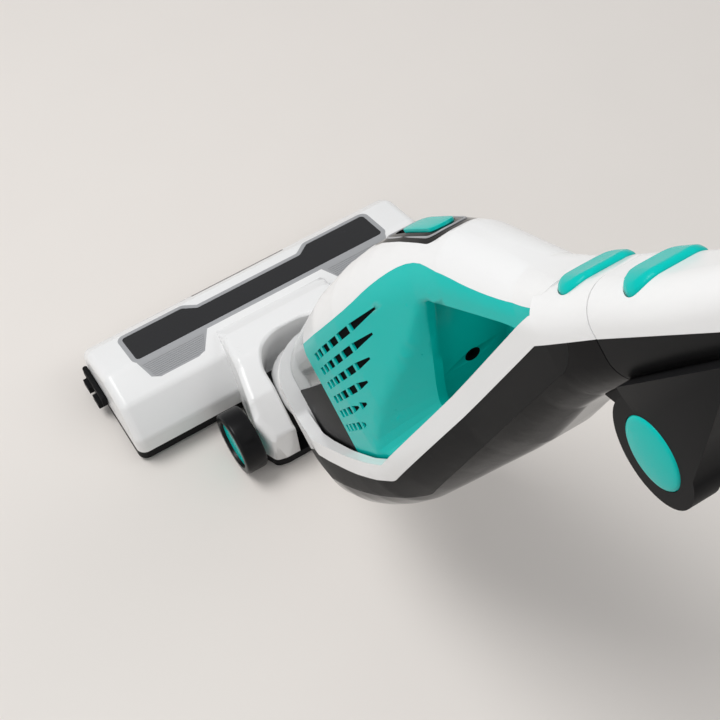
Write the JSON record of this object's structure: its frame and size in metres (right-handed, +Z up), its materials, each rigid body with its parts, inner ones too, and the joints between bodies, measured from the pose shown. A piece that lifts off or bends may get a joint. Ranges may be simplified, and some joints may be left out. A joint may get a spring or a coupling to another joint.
{
  "type": "cordless stick vacuum",
  "caption": "Upright cordless stick vacuum with a powered brush head, tilting neck, dock tray holding a removable hand vac with a dust cup, and a handle that folds back.",
  "frame": {"origin": "middle of the handle where the hand holds it", "axes": "+X to the vacuum's right, +Y forward, +Z up, with the head flat on the floor and the stick leaning back"},
  "size_m": [0.2723, 0.7219, 0.8665],
  "materials": {
    "white_plastic": "smooth white moulding",
    "turquoise_plastic": "smooth turquoise moulding",
    "black_plastic": "fine matte black moulding",
    "gloss_black": "polished black moulding",
    "grey_trim": "silver grey trim",
    "smoked_window": "smoked clear plastic",
    "clear_cup": "clear dust cup",
    "dark_rubber": "soft rubber",
    "tyre_rubber": "soft tyre",
    "steel": "turned steel",
    "bristle": "nylon bristle",
    "filter_paper": "pleated paper",
    "felt": "felt pad",
    "cell_wrap": "cell sleeve"
  },
  "bodies": {
    "handle": {"handle_front": "white_plastic", "handle_back": "black_plastic", "hinge_cap_left": "turquoise_plastic", "hinge_cap_right": "turquoise_plastic", "hinge_pin": "steel"},
    "fold_button": {"fold_button": "turquoise_plastic"},
    "dock": {"dock_rim": "white_plastic", "dock_back": "black_plastic", "dock_panel": "gloss_black", "inlet_seal": "dark_rubber"},
    "release_button": {"release_button": "turquoise_plastic"},
    "hand_vac": {"grip_arm": "white_plastic", "body_left": "turquoise_plastic", "body_right": "turquoise_plastic", "vent_screens": "black_plastic", "switch_bezel": "gloss_black", "charge_socket": "black_plastic", "dust_cup": "clear_cup", "cup_back": "black_plastic", "filter_frame": "black_plastic", "pleated_filter": "filter_paper", "fan_motor": "steel", "motor_mount": "black_plastic", "battery_cells": "cell_wrap", "battery_holder": "black_plastic"},
    "power_switch": {"power_switch": "turquoise_plastic"},
    "impeller": {"impeller": "black_plastic"},
    "inlet_flap": {"inlet_flap": "black_plastic"},
    "neck": {"neck_shell": "white_plastic", "neck_barrel": "black_plastic", "neck_hose": "dark_rubber"},
    "head": {"head_cover": "white_plastic", "window_trim": "grey_trim", "brush_window": "smoked_window", "light_strip": "gloss_black", "centre_housing": "white_plastic", "sole_plate": "black_plastic", "sole_glides": "felt", "roller_bearings": "steel", "brush_motor": "steel", "head_screws": "steel", "drive_belt": "dark_rubber", "tilt_pins": "steel", "wheel_axles": "steel"},
    "roller": {"brush_roller": "black_plastic", "brush_bristles": "bristle", "roller_pulley": "turquoise_plastic"},
    "pinion": {"motor_pinion": "black_plastic"},
    "wheel_left": {"tyre_left": "tyre_rubber", "hub_left": "turquoise_plastic"},
    "wheel_right": {"tyre_right": "tyre_rubber", "hub_right": "turquoise_plastic"},
    "end_latch": {"end_latch": "black_plastic"}
  },
  "joints": [
    {"name": "handle_fold", "type": "hinge", "parent": "handle", "child": "dock", "pos_m": [0, 0.18587, -0.3312], "axis": [-1, 0, 0], "range_deg": [0, 170]},
    {"name": "fold_button_press", "type": "slide", "parent": "handle", "child": "fold_button", "axis": [0, -0.8387, -0.5446], "range_m": [0, 0.002], "stiffness_N_per_m": 1500},
    {"name": "release_button_press", "type": "slide", "parent": "dock", "child": "release_button", "axis": [0, -0.8387, -0.5446], "range_m": [0, 0.002], "stiffness_N_per_m": 1500},
    {"name": "hand_vac_lift_out", "type": "slide", "parent": "dock", "child": "hand_vac", "axis": [0, 0.8387, 0.5446], "range_m": [0, 0.16]},
    {"name": "power_switch_slide", "type": "slide", "parent": "hand_vac", "child": "power_switch", "axis": [0, 0.7013, -0.7128], "range_m": [0, 0.01]},
    {"name": "impeller_spin", "type": "hinge", "parent": "hand_vac", "child": "impeller", "pos_m": [0, 0.39215, -0.56806], "axis": [0, -0.5446, 0.8387], "continuous": true},
    {"name": "inlet_flap_swing", "type": "hinge", "parent": "hand_vac", "child": "inlet_flap", "pos_m": [0, 0.43995, -0.63909], "axis": [1, 0, 0], "range_deg": [0, 40]},
    {"name": "stick_swivel", "type": "hinge", "parent": "dock", "child": "neck", "pos_m": [0, 0.47047, -0.65194], "axis": [0, -0.5446, 0.8387], "range_deg": [-50, 50]},
    {"name": "head_tilt", "type": "hinge", "parent": "neck", "child": "head", "pos_m": [0, 0.53964, -0.75845], "axis": [1, 0, 0], "range_deg": [-37, 33]},
    {"name": "roller_spin", "type": "hinge", "parent": "head", "child": "roller", "pos_m": [0, 0.62364, -0.76245], "axis": [1, 0, 0], "continuous": true},
    {"name": "pinion_spin", "type": "hinge", "parent": "head", "child": "pinion", "pos_m": [0.1, 0.58664, -0.75845], "axis": [1, 0, 0], "continuous": true},
    {"name": "left_wheel_spin", "type": "hinge", "parent": "head", "child": "wheel_left", "pos_m": [-0.066, 0.53164, -0.76445], "axis": [1, 0, 0], "continuous": true},
    {"name": "right_wheel_spin", "type": "hinge", "parent": "head", "child": "wheel_right", "pos_m": [0.066, 0.53164, -0.76445], "axis": [1, 0, 0], "continuous": true},
    {"name": "end_latch_open", "type": "hinge", "parent": "head", "child": "end_latch", "pos_m": [-0.1348, 0.63464, -0.76445], "axis": [0, 1, 0], "range_deg": [0, 25]}
  ],
  "couplings": [
    {"joint": "pinion_spin", "follows": "roller_spin", "ratio": 2.2}
  ]
}
